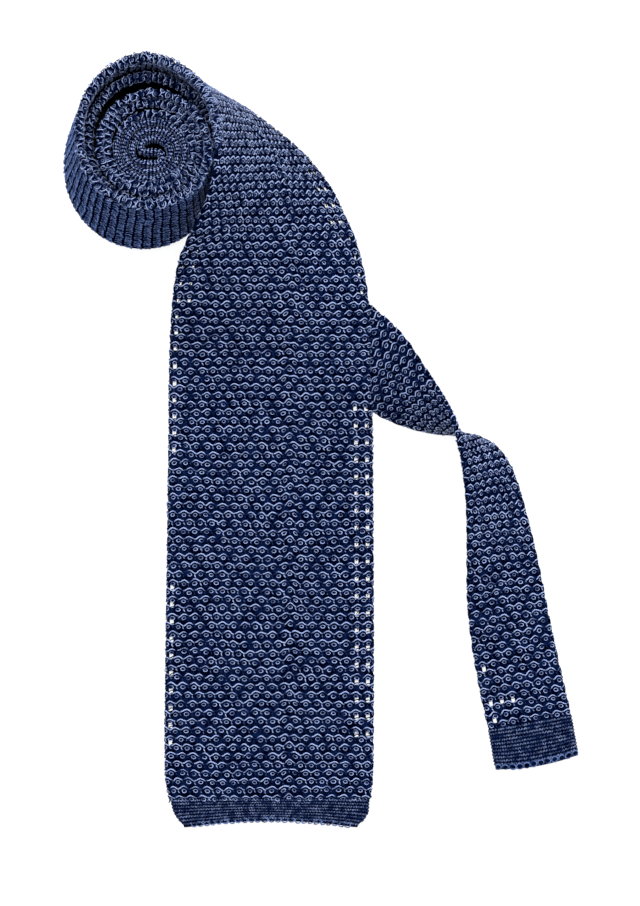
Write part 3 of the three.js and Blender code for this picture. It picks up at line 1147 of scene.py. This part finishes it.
# The blade's strand in the coil
# The wide end goes on into the coil, standing on its edge and growing narrower. Its outermost turn
# shows its whole face, and the turns inside it show only their top edge.
wrap_knit = {**blade_knit, "Depth": -0.8 * yarn_radius, "Unevenness": 0.0010, "Tilt": 0.14}
wall_first_column = -0.0325
wall_first_row = 95
wall_rows = 54
coil_rim_rows = 121
closed_cloth_half = 0.0008
# Its face leans away from the light, so its yarn is a copy of the silk with a dimmer painted highlight and
# less gloss, as painted shade
shaded_wall_yarn = silk_yarn(
    "wall silk yarn", (0.0, 0.0010, 0.012), (0.006, 0.024, 0.108), (0.15, 0.25, 0.60), gloss=0.02
)
# The strands in the coil have a cloth darker still, as painted shade in the narrow gaps between the turns
black_ground = ground_material("black ground", (0.0, 0.0004, 0.005), (0.001, 0.004, 0.026))
wrap_stitches = [
    knit(
        "coil_wall_stitches", coarse_stitch, shaded_wall_yarn,
        First_column=wall_first_column, Columns=blade_columns - 1,
        First_row=wall_first_row, Rows=wall_rows, Spread=1.0, Seed=11, **wrap_knit,
    ),
    knit(
        "coil_rim_stitches", coarse_stitch, navy_yarn,
        First_row=coil_rim_row, Rows=coil_rim_rows, Seed=12, **blade_rim, **rim_knit,
    ),
]
wrap_ground = ground_cloth(
    "blade_wrap", black_ground, lines_each(4, 34),
    even_lines(starts["blade_wrap"], ends["blade_wrap"], row_height / 2), blade_flat_half, inset=0.0004,
)
thicken(wrap_ground, closed_cloth_half)
settle([wrap_ground, *wrap_stitches])
declare_cloth("blade_wrap")

# The neckband
# The middle of the tie is knitted finely, so that it slides under a collar. It is the core of the
# coil, where it folds back on itself.
neck_half = 0.0135
neck_rim_middle = neck_half + 0.0017
neck_columns = 13
neck_first = math.floor(starts["neckband"] / fine_height)
neck_rows = math.ceil(starts["tail_wrap"] / fine_height) - neck_first + 1
# The neckband's yarn is a copy of the fine yarn with brighter navy and a stronger painted highlight, as
# painted light on its thin edges seen from above
lit_neck_yarn = silk_yarn(
    "neck silk yarn", painted_shade_navy, (0.007, 0.024, 0.116), (0.38, 0.48, 0.82), full=1.24
)
neck_stitches = knit(
    "neck_rim_stitches", fine_stitch, lit_neck_yarn,
    First_column=-neck_rim_middle - (neck_columns - 1) / 2 * fine_width, Columns=neck_columns,
    First_row=neck_first, Rows=neck_rows, Flat_half=neck_half, Spread=0.0, Seed=21,
    **{**fine_knit, "Stagger": 0.5, "Unevenness": 0.0007, "Tilt": 0.35},
)
neck_ground = ground_cloth(
    "neckband", black_ground, lines_each(3, 15),
    even_lines(starts["neckband"], ends["neckband"], 0.001), neck_half, inset=0.0003,
)
thicken(neck_ground, closed_cloth_half)
settle([neck_ground, neck_stitches])
declare_cloth("neckband")

# The tail's strand in the coil
# The narrow end lies inside the wide end's strand, turn for turn, and shows its top edge.
tail_flat_half = 0.0132
tail_columns = 16
tail_rim_columns = 8
tail_rim_rows = 108
tail_width_of_stitch = (4 * tail_flat_half + math.pi * tail_thickness) / tail_columns
tail_wrap_stitches = knit(
    "tail_rim_stitches", tail_stitch, navy_yarn,
    First_column=-tail_flat_half - (tail_rim_columns - 1.5) * rim_pitch, Columns=tail_rim_columns,
    First_row=math.ceil(starts["tail_wrap"] / rim_pitch) - 1, Rows=tail_rim_rows,
    Flat_half=tail_flat_half, Seed=31, **rim_knit,
)
tail_wrap_ground = ground_cloth(
    "tail_wrap", black_ground, lines_each(4, 14),
    even_lines(starts["tail_wrap"], ends["tail_wrap"], row_height / 2), tail_flat_half, inset=0.0004,
)
thicken(tail_wrap_ground, closed_cloth_half)
settle([tail_wrap_ground, tail_wrap_stitches])
declare_cloth("tail_wrap")

# The tail
# The narrow end comes out of the coil under the blade, turns over once and lies flat beside it.
tail_first_row = 316
tail_turn_rows = 40
tail_front_rows = 37
tail_stitches = [
    knit(
        name, tail_stitch, navy_yarn,
        First_row=first_row, Rows=rows, Spread=1.0, Seed=first_row,
        **centred(tail_columns, tail_width_of_stitch),
        **{**blade_knit, "Flat_half": tail_flat_half, "Stitch_width": tail_width_of_stitch},
    )
    for name, first_row, rows in (
        ("tail_turn_stitches", tail_first_row, tail_turn_rows),
        ("tail_front_stitches", tail_first_row + tail_turn_rows, tail_front_rows),
    )
]
tail_edge_line = 0.016
tail_second_line = 0.0125
tail_lines_across = [
    -tail_edge_line,
    -tail_second_line,
    *(
        (column_number + part - (tail_columns - 1) / 2) * tail_width_of_stitch
        for column_number in range(5, 11)
        for part in mesh_sides
    ),
    tail_edge_line,
]
# Each of its few openings has its mesh across the tail and its row
tail_openings = {opening(*place) for place in ((24, 389), (20, 389), (16, 389), (24, 391), (24, 385))}
tail_ground = ground_cloth(
    "tail", navy_ground, tail_lines_across, row_lines("tail"), tail_flat_half, inset=0.0001,
    open_meshes=tail_openings, scallop=edge_scallop,
)
thicken(tail_ground, open_cloth_half)
settle([tail_ground, *tail_stitches])

# The tail's welt
# The narrow end is finished with a deeper band of the same small plain stitches.
tail_welt_first = math.ceil(starts["tail_welt"] / fine_height)
tail_welt_end = starts["end"] + cast_off_depth
tail_bow = dict(Bow=0.0012, Bow_from=starts["tail_welt"], Bow_to=starts["end"])
tail_welt_stitches = knit(
    "tail_welt_stitches", fine_stitch, fine_yarn,
    First_row=tail_welt_first, Rows=11, Flat_half=tail_flat_half, Spread=1.0, Seed=41,
    **centred(columns=54, width=fine_width), **fine_knit, **tail_bow,
)
tail_welt_ground = ground_cloth(
    "tail_welt", navy_ground, lines_each(2, 14),
    even_lines(starts["tail_welt"], tail_welt_end, fine_height), tail_flat_half, inset=0.0004,
    bow=tuple(tail_bow.values()),
)
thicken(tail_welt_ground, welt_cloth_half)
tail_loops = knit(
    "tail_cast_off_loops", cast_off_loop, cast_off_yarn,
    First_row=1, Row_height=starts["end"], Flat_half=tail_flat_half, Depth=-0.0003, Drift=0.0006,
    Seed=42, **centred(columns=12, width=loop_pitch), **cast_off, **tail_bow,
)
settle([tail_welt_ground, tail_welt_stitches, tail_loops])
declare_cloth(
    "tail"
)

for pattern in (coarse_stitch, tail_stitch, fine_stitch, cast_off_loop):
    bpy.data.objects.remove(pattern)
